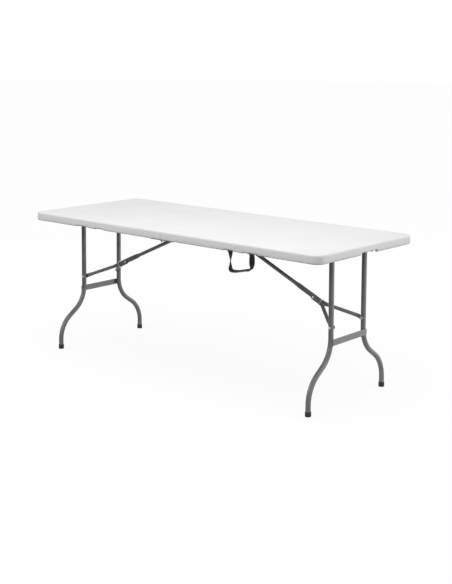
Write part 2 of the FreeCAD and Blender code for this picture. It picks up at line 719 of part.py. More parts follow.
def grip_run():
    """Sections round the left bend, along the sagging grip and round the right bend."""
    x0 = HANDLE_ENDS[0] + GRIP_BEND_R
    x1 = HANDLE_ENDS[1] - GRIP_BEND_R
    tilt = math.radians(GRIP_TILT)
    sections = []
    for i in range(1, BEND_SECTIONS + 1):
        slope = math.radians(-90 + 90 * i / BEND_SECTIONS)
        x = x0 + GRIP_BEND_R * math.sin(slope)
        z = GRIP_Z[0] + GRIP_BEND_R * (1 - math.cos(slope))
        sections.append(grip_section(x, z, slope, tilt * i / BEND_SECTIONS))
    for i in range(1, GRIP_SECTIONS):
        t = i / GRIP_SECTIONS
        z = GRIP_Z[0] + (GRIP_Z[1] - GRIP_Z[0]) * smooth(t) - GRIP_SAG * math.sin(math.pi * t)
        sections.append(grip_section(x0 + (x1 - x0) * t, z, 0, tilt))
    for i in range(BEND_SECTIONS):
        slope = math.radians(90 * i / BEND_SECTIONS)
        x = x1 + GRIP_BEND_R * math.sin(slope)
        z = GRIP_Z[1] + GRIP_BEND_R * (1 - math.cos(slope))
        sections.append(grip_section(x, z, slope, tilt * (1 - i / BEND_SECTIONS)))
    return sections


def strap():
    """One length of webbing: sewn loop, twisted run, grip, twisted run, sewn loop."""
    left = strap_run(HANDLE_ENDS[0], GRIP_Z[0], V(0, 0, -1), 0, -90)
    right = strap_run(HANDLE_ENDS[1], GRIP_Z[1], V(0, 0, 1), 180, 90)
    band = Part.makeLoft(left + grip_run() + right[::-1], True, True)
    eyes = []
    holes = []
    for x in HANDLE_ENDS:
        eye_r = HANDLE_BAR_R + RUN_CLEAR + WEB
        half = WEB_WIDTH / 2 - EYE_INSET
        eyes.append(rod_x(x - half, x + half, HANDLE_Y, HANDLE_BAR_Z, eye_r))
        holes.append(rod_x(x - half - PAST, x + half + PAST, HANDLE_Y, HANDLE_BAR_Z,
                           HANDLE_BAR_R + RUN_CLEAR))
    return joined([band] + eyes).cut(holes)


def handle_bracket(x):
    """A plate on the rail's underside with two ears that carry the bar."""
    plate = box((x - BAR_PLATE_X, x + BAR_PLATE_X),
                (HANDLE_Y - BAR_PLATE_Y, HANDLE_Y + BAR_PLATE_Y), (RIM_Z - BAR_PLATE, RIM_Z))
    parts = [plate.makeFillet(BAR_PLATE_R, edges_along(plate, Z_AXIS))]
    for side in (1, -1):
        ear_x = sorted((x + side * EAR_IN, x + side * (EAR_IN + EAR)))
        parts.append(rod_x(ear_x[0], ear_x[1], HANDLE_Y, HANDLE_BAR_Z, EAR_R))
        parts.append(box(ear_x, (HANDLE_Y - EAR_R, HANDLE_Y + EAR_R),
                         (HANDLE_BAR_Z, RIM_Z - BAR_PLATE / 2)))
    holes = [rod_z(x + s, HANDLE_Y, RIM_Z - PAST, RIM_Z + PAST, SCREW_R)
             for s in (-BAR_SCREW_X, BAR_SCREW_X)]
    return joined(parts).cut(holes + [handle_bar(x)])


def handle_bar(x):
    reach = EAR_IN + EAR + BAR_END
    return rod_x(x - reach, x + reach, HANDLE_Y, HANDLE_BAR_Z, HANDLE_BAR_R)


def handle_screw_x():
    return [x + s for x in HANDLE_ENDS for s in (-BAR_SCREW_X, BAR_SCREW_X)]


def handle_screws():
    return [pan_head(x, HANDLE_Y, RIM_Z - BAR_PLATE, RIM_Z + RAIL_WALL)
            for x in handle_screw_x()]


# --- End latch -------------------------------------------------------------------------
def latch_lever():
    """A flat hook arm and a thumb tab on one boss, behind the right end skirt."""
    boss = rod_x(LATCH_X[0], LATCH_X[1], LATCH_Y, LATCH_Z, LATCH_BOSS_R)
    half = LATCH_ARM / 2
    throat_y = LATCH_Y + LATCH_REACH
    arm = box(LATCH_X, (LATCH_Y, throat_y + LATCH_TIP), (LATCH_Z - half, LATCH_Z + half))
    tab = box(LATCH_X, (LATCH_Y - LATCH_TAB_HALF, LATCH_Y + LATCH_TAB_HALF),
              (LATCH_TAB_Z, LATCH_Z))
    tab = tab.makeFillet(LATCH_TAB_R, [e for e in edges_along(tab, X_AXIS)
                                       if e.BoundBox.ZMax < LATCH_Z - NEAR])
    cut_x = (LATCH_X[0] - PAST, LATCH_X[1] + PAST)
    throat = [rod_x(cut_x[0], cut_x[1], throat_y, LATCH_Z, THROAT_R),
              box(cut_x, (throat_y - THROAT_R, throat_y + THROAT_R), (LATCH_Z - PAST, LATCH_Z))]
    pivot = rod_x(cut_x[0], cut_x[1], LATCH_Y, LATCH_Z, LATCH_SHOULDER_R + RUN_CLEAR)
    return joined([boss, arm, tab]).cut(throat + [pivot])


def latch_screw():
    """Shoulder screw: head, running shoulder, and a collar against the skirt."""
    skirt = HALF_L - SKIRT_WALL
    head_x = LATCH_X[0] - LATCH_GAP
    collar_x = LATCH_X[1] + LATCH_GAP
    head = rod_x(head_x - LATCH_HEAD, head_x, LATCH_Y, LATCH_Z, LATCH_HEAD_R)
    head = head.makeFillet(LATCH_CROWN_R, rims_at(head, X_AXIS, head_x - LATCH_HEAD))
    shoulder = rod_x(head_x, collar_x, LATCH_Y, LATCH_Z, LATCH_SHOULDER_R)
    collar = rod_x(collar_x, skirt, LATCH_Y, LATCH_Z, LATCH_HEAD_R)
    return joined([head, shoulder, collar])


def latch_keeper():
    """Headed stud behind the left end skirt, which the hook takes when folded."""
    skirt = SKIRT_WALL - HALF_L
    under_head = skirt + KEEPER_REACH
    stud = rod_x(skirt, under_head, LATCH_Y, LATCH_Z, LATCH_SHOULDER_R)
    head = rod_x(under_head, under_head + KEEPER_HEAD, LATCH_Y, LATCH_Z, LATCH_HEAD_R)
    base = rod_x(skirt, skirt + KEEPER_BASE, LATCH_Y, LATCH_Z, KEEPER_BASE_R)
    return joined([stud, head, base])


# --- Nodes -----------------------------------------------------------------------------
def in_pairs(name, shape):
    """A front piece of the right half, copied to the rear and to the left half."""
    return {name + "_front_right": shape,
            name + "_rear_right": mirror_y(shape),
            name + "_front_left": mirror_x(shape),
            name + "_rear_left": mirror_x(mirror_y(shape))}


def on_each_half(name, shapes):
    """A centred piece or a group of the right half, copied to the left half."""
    group = shapes if isinstance(shapes, list) else [shapes]
    return {name + "_right": group, name + "_left": [mirror_x(s) for s in group]}


def top_nodes():
    nodes = on_each_half("tabletop", tabletop())
    plain_rail = rail(HINGE_SCREW_X)
    nodes.update(in_pairs("side_rail", plain_rail))
    nodes["side_rail_front_right"] = rail(list(HINGE_SCREW_X) + handle_screw_x())
    nodes.update(on_each_half("rail_screws", rail_screws()))
    nodes.update(in_pairs("pivot_bracket", pivot_bracket()))
    nodes.update(on_each_half("bracket_screws", bracket_screws()))
    nodes.update(on_each_half("brace_anchor_tube", anchor_tube()))
    return nodes


def hinge_nodes():
    y0, y1 = HINGE_Y
    split = (y0 + y1) / 2
    right = hinge_leaf(1, split + KNUCKLE_GAP / 2, y1, RUN_CLEAR)
    left = hinge_leaf(-1, y0, split - KNUCKLE_GAP / 2, 0)
    nodes = {"hinge_leaf_rear_right": right, "hinge_leaf_front_right": mirror_y(right),
             "hinge_leaf_rear_left": left, "hinge_leaf_front_left": mirror_y(left),
             "hinge_pins": both_sides(hinge_pin())}
    nodes.update(on_each_half("hinge_screws", hinge_screws()))
    return nodes


def leg_nodes():
    nodes = on_each_half("leg_pivot_tube", pivot_tube())
    nodes.update(in_pairs("leg", leg()))
    nodes.update(in_pairs("foot_cap", foot_cap()))
    nodes.update(on_each_half("crossbar", crossbar()))
    nodes.update(on_each_half("leg_bolts", both_sides(leg_bolt())))
    return nodes


def brace_nodes():
    nodes = on_each_half("brace_sleeve", link_sleeve())
    nodes.update(on_each_half("brace_link", upper_link()))
    nodes.update(in_pairs("fork_arm", fork_arm()))
    nodes.update(on_each_half("fork_nuts", both_sides(arm_nut())))
    nodes.update(on_each_half("knuckle_rivet", knuckle_rivet()))
    nodes.update(on_each_half("lock_ring", lock_ring()))
    return nodes


def fitting_nodes():
    return {"handle_strap": strap(),
            "handle_brackets": [handle_bracket(x) for x in HANDLE_ENDS],
            "handle_bars": [handle_bar(x) for x in HANDLE_ENDS],
            "handle_screws": handle_screws(),
            "latch_lever": latch_lever(),
            "latch_screw": latch_screw(),
            "latch_keeper": latch_keeper()}


def write_nodes(nodes):
    os.makedirs("parts", exist_ok=True)
    for name in sorted(nodes):
        shapes = nodes[name] if isinstance(nodes[name], list) else [nodes[name]]
        solids = [solid for shape in shapes for solid in shape.Solids]
        whole = solids[0] if len(solids) == 1 else Part.makeCompound(solids)
        whole.exportStep("parts/" + name + ".step")
        state = "ok" if whole.isValid() else "INVALID"
        print(name, len(solids), "solids", round(whole.Volume / 1000, 2), "cm3", state)


all_nodes = {}
for group in (top_nodes(), hinge_nodes(), leg_nodes(), brace_nodes(), fitting_nodes()):
    all_nodes.update(group)
write_nodes(all_nodes)
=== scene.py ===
import json
import math

import bmesh
import bpy
from mathutils import Matrix, Quaternion, Vector
from mathutils.geometry import delaunay_2d_cdt


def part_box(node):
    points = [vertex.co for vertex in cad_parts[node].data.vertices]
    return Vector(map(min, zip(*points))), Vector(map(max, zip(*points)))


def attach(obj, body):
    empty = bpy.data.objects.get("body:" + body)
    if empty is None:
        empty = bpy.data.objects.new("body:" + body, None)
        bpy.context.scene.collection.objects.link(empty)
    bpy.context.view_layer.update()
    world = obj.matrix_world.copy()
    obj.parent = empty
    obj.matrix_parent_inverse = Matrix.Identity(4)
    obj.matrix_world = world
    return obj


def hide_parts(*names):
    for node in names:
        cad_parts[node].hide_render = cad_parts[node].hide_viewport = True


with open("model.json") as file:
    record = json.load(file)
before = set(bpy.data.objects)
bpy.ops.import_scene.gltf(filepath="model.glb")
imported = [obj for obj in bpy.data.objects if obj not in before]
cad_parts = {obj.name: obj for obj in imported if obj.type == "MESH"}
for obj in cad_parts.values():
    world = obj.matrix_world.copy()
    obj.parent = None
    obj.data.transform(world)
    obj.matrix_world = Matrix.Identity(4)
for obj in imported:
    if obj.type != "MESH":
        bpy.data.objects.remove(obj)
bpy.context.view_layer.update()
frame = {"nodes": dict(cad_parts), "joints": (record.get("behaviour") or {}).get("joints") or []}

# The looks of a fold-in-half table. Shapes are worked out in millimetres and written in
# metres. Right is +X and front is -Y, the side with the carry handle.
MM = 1000.0
X_AXIS = Vector((1, 0, 0))
Y_AXIS = Vector((0, 1, 0))
Z_AXIS = Vector((0, 0, 1))


def cad_box(node):
    lo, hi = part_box(node)
    return lo * MM, hi * MM


def joint_point(name):
    joint = next(j for j in frame["joints"] if j["name"] == name)
    return Vector(joint["pos_m"]) * MM


# --- Measures --------------------------------------------------------------------------
TOP_LO, TOP_HI = cad_box("tabletop_right")
RIM_Z, TOP_Z = TOP_LO.z, TOP_HI.z
HALF_W = TOP_HI.y
CORNER_R = 46.0
FLARE = 2.5
TOP_EDGE_R = 9.5
RIM_R = 7.0
SIDE_WALL, SEAM_WALL = 14.0, 12.0  # skirt thickness on the outer sides and at the seam
SEAM_R = 1.2
SLAB_Z = cad_box("side_rail_front_right")[1].z
FRONT_NOTCHES = ((394.0, 447.0), (506.0, 586.0))
NOTCH_RISE, NOTCH_RAMP = 4.5, 4.0  # rise of the rim, and length of the slope beside it
END_NOTCH = (-60.0, 63.0)
END_NOTCH_RISE, END_NOTCH_RAMP = 9.5, 6.0
SIDE_STEP = 40.0                   # between mesh stations along a straight side
CELLS_X, CELLS_Y = 15, 12          # dimples under each half
CELL_SIDE = 4                      # mesh steps along one side of a dimple's cell
CELL_FIELD = (30.0, 885.0, 320.0)  # x from, x to, half width of the dimpled field

PIVOT = joint_point("right_leg_fold")
SPLAY = math.atan(0.0207)
LEG_R = 12.0
LEG_Y = 128.0
FOOT_Y = 294.0
BEND_TOP_Z = 320.0
BEND_R = 148.0
BEND = math.radians(55)
PIVOT_R = 12.5
WELD_GAP = 0.3                     # a bead's middle lies this far off the tube
CROSSBAR_Z, CROSSBAR_X = 302.0, 13.8
CROSSBAR_SIZE = (30.0, 6.0)
CROSSBAR_Y = 134.0
CROSSBAR_WELD = 12.0               # half its length

ANCHOR = joint_point("right_brace_fold")
KNUCKLE = joint_point("right_knuckle_fold")
BOLT = sum(cad_box("leg_bolts_right"), Vector()) / 2
BRACE_DIR = (BOLT - KNUCKLE).normalized()
BRACE_UP = BRACE_DIR.cross(Y_AXIS)
LINK_R = 9.0
LINK_RISE = 2.7
SLEEVE_R = 11.0
TONGUE = (25.0, 6.6)               # height and thickness of the link's pressed end
TONGUE_LENGTH, TONGUE_TAPER = 82.0, 42.0
TAIL, TAIL_END = 38.0, 8.0         # beyond the knuckle, and how much of it is rounded off
PLATE_Y = (3.6, 7.0)
PLATE_LENGTH = 53.0
ARM_R = 8.5
ARM_END_Y = (111.0, 115.5)
ARM_END_LENGTH = 20.0
ARM_TAPER = 26.0
PLATE_EYE_R, BOLT_EYE_R = 12.3, 10.0
DISH = 0.35                        # hollow of a side that was pressed flat
RING_AT = 47.0                     # from the knuckle down the fork
RING_WIRE_R, RING_CORNER_R, RING_GAP = 1.6, 5.0, 4.2
RING_HALF, RING_ABOVE, RING_BELOW = 10.6, 15.5, 12.45  # its opening round the fork's axis

BAR_Y, BAR_Z = -347.0, 690.3
STRAP_X = (410.5, 534.5)
WEB_WIDTH, WEB = 25.0, 1.6
LOOP_R = 2.85                      # webbing round a bar, to its middle layer
LAYER = 0.84                       # each sewn layer, from the middle of the pair
SEWN_Z = 642.0                     # lower end of the doubled webbing
FLARE_Z = 681.0                    # above it the layers part to go round the bar
RUN_TOP = BAR_Z - 2.55
GRIP_Z = (603.5, 620.0)
GRIP_BEND_R = 13.0
GRIP_TILT = math.radians(20)
GRIP_SAG = 2.0


# --- Mesh helpers ----------------------------------------------------------------------
def smooth(t):
    t = min(max(t, 0.0), 1.0)
    return t * t * (3 - 2 * t)


def skin(rings, caps=True, loop=False):
    """Vertices and faces of a closed skin over rings of equal length."""
    n = len(rings[0])
    verts = [point for ring in rings for point in ring]
    faces = []
    for i in range(len(rings) if loop else len(rings) - 1):
        a = i * n
        b = (i + 1) % len(rings) * n
        for j in range(n):
            k = (j + 1) % n
            faces.append((a + j, a + k, b + k, b + j))
    if caps and not loop:
        faces.append(tuple(range(n)))
        faces.append(tuple(range(len(verts) - n, len(verts))))
    return verts, faces


def ring_about(centre, axis, radius, steps):
    """Points round an axis; radius is a number or a function of the angle."""
    side = axis.orthogonal().normalized()
    other = axis.cross(side).normalized()
    points = []
    for i in range(steps):
        a = math.tau * i / steps
        r = radius(a) if callable(radius) else radius
        points.append(centre + (side * math.cos(a) + other * math.sin(a)) * r)
    return points


def turned(centre, axis, profile, steps=40):
    """A turned shape from (distance along the axis, radius) pairs."""
    return skin([ring_about(centre + axis * d, axis, r, steps) for d, r in profile])


def tangents(points, loop=False):
    last = len(points) - 1
    found = []
    for i in range(len(points)):
        ahead = points[(i + 1) % len(points)] if loop else points[min(i + 1, last)]
        behind = points[i - 1] if loop else points[max(i - 1, 0)]
        found.append((ahead - behind).normalized())
    return found


def tube(points, radius, hint, sides=16, loop=False):
    """A round tube along points; hint is never parallel to the path."""
    radii = radius if isinstance(radius, list) else [radius] * len(points)
    rings = []
    for centre, along, r in zip(points, tangents(points, loop), radii):
        across = along.cross(hint).normalized()
        other = along.cross(across)
        rings.append([centre + (across * math.cos(math.tau * j / sides)
                                + other * math.sin(math.tau * j / sides)) * r
                      for j in range(sides)])
    return skin(rings, loop=loop)


def bead(points, hint, loop=False):
    """A weld bead with the small scales that a welding pass leaves."""
    n = len(points)
    radii = []
    for i in range(n):
        fade = 1.0 if loop else 0.35 + 0.65 * math.sin(math.pi * i / (n - 1)) ** 0.3
        radii.append(fade * (1.55 + 0.3 * math.sin(i * 1.9) + 0.15 * math.sin(i * 0.7)))
    return tube(points, radii, hint, sides=10, loop=loop)


def pressed_ring(centre, along, up, height, thick, dish=0.0):
    """Outline of a tube pressed flat: round edges, and sides dished a little."""
    steps = 10
    side = along.cross(up).normalized()
    r = thick / 2
    rise = max(height / 2 - r, 0.02)
    ring = []
    for turn in (1, -1):
        for i in range(steps + 1):
            a = math.pi * i / steps
            ring.append(centre + (up * (rise + r * math.sin(a)) + side * r * math.cos(a)) * turn)
        for t in (0.6, 0.0, -0.6):
            ring.append(centre + (up * rise * t - side * (r - dish)) * turn)
    return ring


def arc(centre, radius, first, last, a0, a1, steps):
    """Points of an arc in the plane of two unit vectors."""
    points = []
    for i in range(steps + 1):
        a = a0 + (a1 - a0) * i / steps
        points.append(centre + (first * math.cos(a) + last * math.sin(a)) * radius)
    return points


def flipped(parts, sx, sy):
    """The same parts mirrored to the left (sx -1) or to the rear (sy -1)."""
    flip = Vector((sx, sy, 1))
    return [([Vector(v) * flip for v in verts], faces) for verts, faces in parts]


def piece(name, parts, material, body, replaces=(), sharp=38, weld=0.0):
    bm = bmesh.new()
    for verts, faces in parts:
        made = [bm.verts.new(Vector(v) / MM) for v in verts]
        for face in faces:
            bm.faces.new([made[i] for i in face])
    if weld:
        bmesh.ops.remove_doubles(bm, verts=bm.verts, dist=weld / MM)
    bmesh.ops.recalc_face_normals(bm, faces=bm.faces)
    mesh = bpy.data.meshes.new(name)
    bm.to_mesh(mesh)
    bm.free()
    mesh.polygons.foreach_set("use_smooth", [True] * len(mesh.polygons))
    mesh.set_sharp_from_angle(angle=math.radians(sharp))
    mesh.materials.append(material)
    obj = bpy.data.objects.new(name, mesh)
    bpy.context.scene.collection.objects.link(obj)
    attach(obj, body)
    if replaces:
        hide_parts(*replaces)
    return obj


# --- Materials -------------------------------------------------------------------------
def node(tree, kind, inputs=(), **settings):
    made = tree.nodes.new(kind)
    for key, value in settings.items():
        setattr(made, key, value)
    for key, value in dict(inputs).items():
        if isinstance(value, bpy.types.NodeSocket):
            tree.links.new(value, made.inputs[key])
        else:
            made.inputs[key].default_value = value
    return made


def noise(tree, where, scale, detail=2.0, rough=0.5):
    made = node(tree, "ShaderNodeTexNoise",
                {"Vector": where, "Scale": scale, "Detail": detail, "Roughness": rough})
    return made.outputs["Fac"]


def ranged(tree, value, low, high, start=0.3, end=0.7):
    """A texture's middle range spread over low..high."""
    made = node(tree, "ShaderNodeMapRange", {"Value": value, "From Min": start, "From Max": end,
                                             "To Min": low, "To Max": high})
    return made.outputs["Result"]


def shades(tree, value, low, high, start=0.3, end=0.7):
    made = node(tree, "ShaderNodeValToRGB", {"Fac": value})
    stops = made.color_ramp.elements
    stops[0].position, stops[0].color = start, (*low, 1)
    stops[1].position, stops[1].color = end, (*high, 1)
    return made.outputs["Color"]


def mixed(tree, share, first, second):
    made = node(tree, "ShaderNodeMix", data_type="RGBA")
    for socket, value in ((made.inputs[0], share), (made.inputs[6], first),
                          (made.inputs[7], second)):
        if isinstance(value, bpy.types.NodeSocket):
            tree.links.new(value, socket)
        else:
            socket.default_value = value
    return made.outputs[2]


def bumped(tree, height, strength, distance, onto=None):
    inputs = {"Height": height, "Strength": strength, "Distance": distance}
    if onto is not None:
        inputs["Normal"] = onto
    return node(tree, "ShaderNodeBump", inputs).outputs["Normal"]


def new_material(name, **constants):
    """A material, its tree, its shader and object coordinates to build on."""
    material = bpy.data.materials.new(name)
    material.use_nodes = True
    tree = material.node_tree
    shader = tree.nodes["Principled BSDF"]
    for key, value in constants.items():
        shader.inputs[key.replace("_", " ")].default_value = value
    where = node(tree, "ShaderNodeTexCoord").outputs["Object"]
    return material, tree, shader, where


def finish_material(tree, shader, colour, roughness, normal):
    tree.links.new(colour, shader.inputs["Base Color"])
    tree.links.new(roughness, shader.inputs["Roughness"])
    tree.links.new(normal, shader.inputs["Normal"])


def top_plastic():
    """White blow-moulded polyethylene with a fine pebbled skin."""
    material, tree, shader, where = new_material("white_plastic", Specular_IOR_Level=0.3)
    cloud = noise(tree, where, 5.0, 3.0)
    speck = noise(tree, where, 260.0, 2.0)
    base = shades(tree, cloud, (0.795, 0.80, 0.803), (0.835, 0.835, 0.832))
    colour = mixed(tree, ranged(tree, speck, 0.0, 0.10, 0.45, 0.75), base, (0.70, 0.70, 0.70, 1))
    rough = ranged(tree, noise(tree, where, 38.0, 3.0), 0.40, 0.54)
    pebble = noise(tree, where, 520.0, 3.0, 0.6)
    sink = noise(tree, where, 16.0, 1.0)
    normal = bumped(tree, sink, 0.10, 0.002)
    finish_material(tree, shader, colour, rough, bumped(tree, pebble, 0.16, 0.0004, normal))
    return material


def powder_coat():
    """Grey powder coat: fine orange peel, worn a little where the metal turns sharply."""
    material, tree, shader, where = new_material("grey_powder_coat", Metallic=0.45,
                                                 Coat_Weight=0.10, Coat_Roughness=0.3)
    cloud = noise(tree, where, 22.0, 4.0)
    base = shades(tree, cloud, (0.186, 0.189, 0.192), (0.226, 0.228, 0.230))
    edge = node(tree, "ShaderNodeNewGeometry").outputs["Pointiness"]
    worn = ranged(tree, edge, 0.0, 0.35, 0.53, 0.60)
    colour = mixed(tree, worn, base, (0.34, 0.34, 0.34, 1))
    rough = ranged(tree, noise(tree, where, 90.0, 3.0), 0.34, 0.48)
    peel = noise(tree, where, 1500.0, 2.0)
    finish_material(tree, shader, colour, rough, bumped(tree, peel, 0.16, 0.00025))
    return material


def zinc(name, low, high, rough):
    """Zinc plating: faint spangle, small scratches and uneven gloss."""
    material, tree, shader, where = new_material(name, Metallic=1.0)
    cells = node(tree, "ShaderNodeTexVoronoi", {"Vector": where, "Scale": 320.0})
    spangle = cells.outputs["Color"]
    tone = node(tree, "ShaderNodeRGBToBW", {"Color": spangle}).outputs["Val"]
    colour = shades(tree, tone, low, high, 0.1, 0.9)
    uneven = ranged(tree, noise(tree, where, 140.0, 4.0), rough[0], rough[1])
    stretch = node(tree, "ShaderNodeMapping", {"Vector": where, "Scale": (60.0, 900.0, 900.0)})
    scratch = noise(tree, stretch.outputs["Vector"], 1.0, 3.0)
    finish_material(tree, shader, colour, uneven, bumped(tree, scratch, 0.12, 0.0002))
    return material


def dull(name, low, high, rough, scale, depth, **constants):
    """Moulded rubber or coated steel with a fine grain."""
    material, tree, shader, where = new_material(name, **constants)
    colour = shades(tree, noise(tree, where, 60.0, 3.0), low, high)
    uneven = ranged(tree, noise(tree, where, 180.0, 3.0), rough[0], rough[1])
    grain = noise(tree, where, scale, 3.0, 0.6)
    finish_material(tree, shader, colour, uneven, bumped(tree, grain, 0.3, depth))
    return material


def webbing():
    """Woven black webbing. The mesh carries 'weave': millimetres across and along."""
    material, tree, shader, where = new_material("black_webbing", Sheen_Weight=0.35,
                                                 Sheen_Roughness=0.45, Specular_IOR_Level=0.3)
    weave = node(tree, "ShaderNodeAttribute", attribute_name="weave").outputs["Vector"]
    waves = []
    for turn in (1, -1):
        angle = (0, 0, turn * math.radians(32))
        mapped = node(tree, "ShaderNodeMapping", {"Vector": weave, "Rotation": angle})
        wave = node(tree, "ShaderNodeTexWave",
                    {"Vector": mapped.outputs["Vector"], "Scale": 0.32, "Distortion": 0.4},
                    wave_type="BANDS", bands_direction="Y")
        waves.append(wave.outputs["Fac"])
    both = node(tree, "ShaderNodeMath", {0: waves[0], 1: waves[1]}, operation="MULTIPLY")
    height = both.outputs["Value"]
    fuzz = noise(tree, where, 1400.0, 3.0)
    # Painted shade: the colour follows the weave's height, so the hollows between the yarns are
    # darker than the yarn tops.
    base = shades(tree, height, (0.010, 0.010, 0.011), (0.026, 0.026, 0.027), 0.0, 0.8)
    colour = mixed(tree, ranged(tree, fuzz, 0.0, 0.4), base, (0.034, 0.034, 0.035, 1))
    rough = ranged(tree, fuzz, 0.66, 0.86)
    normal = bumped(tree, height, 0.55, 0.0005)
    finish_material(tree, shader, colour, rough, bumped(tree, fuzz, 0.25, 0.0002, normal))
    return material


PLASTIC = top_plastic()
COAT = powder_coat()
BRIGHT = zinc("bright_zinc", (0.74, 0.75, 0.77), (0.92, 0.93, 0.94), (0.20, 0.36))
PLATED = zinc("zinc_plate", (0.46, 0.47, 0.48), (0.66, 0.67, 0.68), (0.32, 0.50))
RUBBER = dull("dark_rubber", (0.034, 0.035, 0.036), (0.055, 0.056, 0.057), (0.55, 0.72),
              900.0, 0.0003, Specular_IOR_Level=0.4)
BLACK = dull("black_steel", (0.016, 0.016, 0.017), (0.030, 0.030, 0.031), (0.34, 0.5),
             1300.0, 0.0002, Coat_Weight=0.15)
THREAD = dull("black_thread", (0.030, 0.030, 0.031), (0.060, 0.060, 0.060), (0.6, 0.8),
              2600.0, 0.0001, Sheen_Weight=0.3)
WEBBING = webbing()


# --- Table top -------------------------------------------------------------------------
def flare_at(z):
    return FLARE * (z - RIM_Z) / (TOP_Z - RIM_Z)


def top_levels():
    """(height, rises with a notch, inset of the outer sides, inset of the seam side)."""
    wall, wall_seam = SIDE_WALL, SEAM_WALL
    levels = [(SLAB_Z, 0, wall + 2, wall_seam + 2), (SLAB_Z - 0.6, 0, wall + 0.6, wall_seam + 0.6),
              (SLAB_Z - 2, 0, wall, wall_seam), (SLAB_Z - 9, 0, wall, wall_seam),
              (RIM_Z + 1.5, 1, wall, wall_seam), (RIM_Z + 0.45, 1, wall - 0.5, wall_seam - 0.4),
              (RIM_Z, 1, wall - 1.6, wall_seam - 1.4)]
    for degrees, seam in ((90, 1.0), (75, 0.9), (60, 0.6), (45, 0.3), (30, 0.1), (15, 0), (0, 0)):
        a = math.radians(degrees)
        levels.append((RIM_Z + RIM_R * (1 - math.sin(a)), 1,
                       flare_at(RIM_Z + RIM_R) + RIM_R * (1 - math.cos(a)), seam))
    levels.append((RIM_Z + 20, 0, flare_at(RIM_Z + 20), 0.0))
    start = TOP_Z - TOP_EDGE_R
    for degrees in (0, 12, 25, 38, 50, 61, 70, 77, 84, 90):
        a = math.radians(degrees)
        z = start + TOP_EDGE_R * math.sin(a)
        over = max(z - (TOP_Z - SEAM_R), 0)
        seam = SEAM_R - math.sqrt(max(SEAM_R ** 2 - over ** 2, 0))
        levels.append((z, 0, flare_at(start) + TOP_EDGE_R * (1 - math.cos(a)), seam))
    return levels + [(TOP_Z, 0, 13.2, 2.6), (TOP_Z, 0, 18.0, 8.0)]


def raised(place, notch, ramp):
    """0 outside a notch, 1 inside it, with moulded slopes."""
    return smooth((place - notch[0] + ramp) / ramp) * smooth((notch[1] + ramp - place) / ramp)


def stops(low, high, step, notches, ramp):
    """Places along a side: even steps, and close ones on a notch's slopes."""
    count = max(round((high - low) / step), 1)
    found = [low + (high - low) * i / count for i in range(count + 1)]
    slopes = [edge + s * ramp * i / 5 for a, b in notches for edge, s in ((a, -1), (b, 1))
              for i in range(6)]
    found = [p for p in found if all(abs(p - s) > 2 for s in slopes)]
    return sorted(found + slopes)


def top_stations():
    """(place from the two insets, notch rise) once round the right half."""
    x0, x1 = TOP_LO.x, TOP_HI.x
    stations = []

    def straight(places, place, rise):
        for p in places:
            stations.append((place(p), rise(p)))

    def corner(sign):
        turn = range(1, 14)
        for i in turn if sign < 0 else reversed(turn):
            a = math.radians(90 * i / 14)
            stations.append((lambda o, s, a=a: (
                x1 - CORNER_R + (CORNER_R - o) * math.sin(a),
                sign * (HALF_W - CORNER_R + (CORNER_R - o) * math.cos(a))), 0))

    def seam_corner(sign):
        bases = ((0.8, 0.0), (0.25, 0.25), (0.0, 0.8))
        for dx, dy in bases[::-1] if sign < 0 else bases:
            stations.append((lambda o, s, dx=dx, dy=dy: (
                x0 + dx + s, sign * (HALF_W - dy - o)), 0))

    def front_rise(x):
        return NOTCH_RISE * max(raised(x, n, NOTCH_RAMP) for n in FRONT_NOTCHES)

    def end_rise(y):
        return END_NOTCH_RISE * raised(y, END_NOTCH, END_NOTCH_RAMP)

    seam_corner(-1)
    straight(stops(22, x1 - CORNER_R, SIDE_STEP, FRONT_NOTCHES, NOTCH_RAMP),
             lambda x: lambda o, s: (x, -HALF_W + o), front_rise)
    corner(-1)
    straight(stops(-HALF_W + CORNER_R, HALF_W - CORNER_R, SIDE_STEP, (END_NOTCH,),
                   END_NOTCH_RAMP), lambda y: lambda o, s: (x1 - o, y), end_rise)
    corner(1)
    straight(stops(22, x1 - CORNER_R, SIDE_STEP, (), 0)[::-1],
             lambda x: lambda o, s: (x, HALF_W - o), lambda x: 0)
    seam_corner(1)
    straight(stops(-HALF_W + 24, HALF_W - 24, SIDE_STEP, (), 0)[::-1],
             lambda y: lambda o, s: (x0 + s, y), lambda y: 0)
    return stations


def dimple_cell(x, y, half_x, half_y):
    """A square of the slab's underside with a moulded dimple in its middle."""
    n = 4 * CELL_SIDE
    profile = ((11.5, 0.0), (10.3, 0.25), (9.4, 1.2), (7.0, 5.6), (6.3, 6.3), (5.0, 6.5))
    corners = ((1, -1), (1, 1), (-1, 1), (-1, -1))
    edge = []
    for i in range(n):
        a, b = corners[i // CELL_SIDE], corners[(i // CELL_SIDE + 1) % 4]
        t = i % CELL_SIDE / CELL_SIDE
        edge.append(Vector((x + half_x * (a[0] + (b[0] - a[0]) * t),
                            y + half_y * (a[1] + (b[1] - a[1]) * t), SLAB_Z)))
    rings = [edge]
    for r, rise in profile:
        rings.append([Vector((x + r * math.cos(math.tau * (i / n) - math.pi / 4),
                              y + r * math.sin(math.tau * (i / n) - math.pi / 4),
                              SLAB_Z + rise)) for i in range(n)])
    verts, faces = skin(rings, caps=False)
    faces.append(tuple(range(len(verts) - n, len(verts))))
    return verts, faces


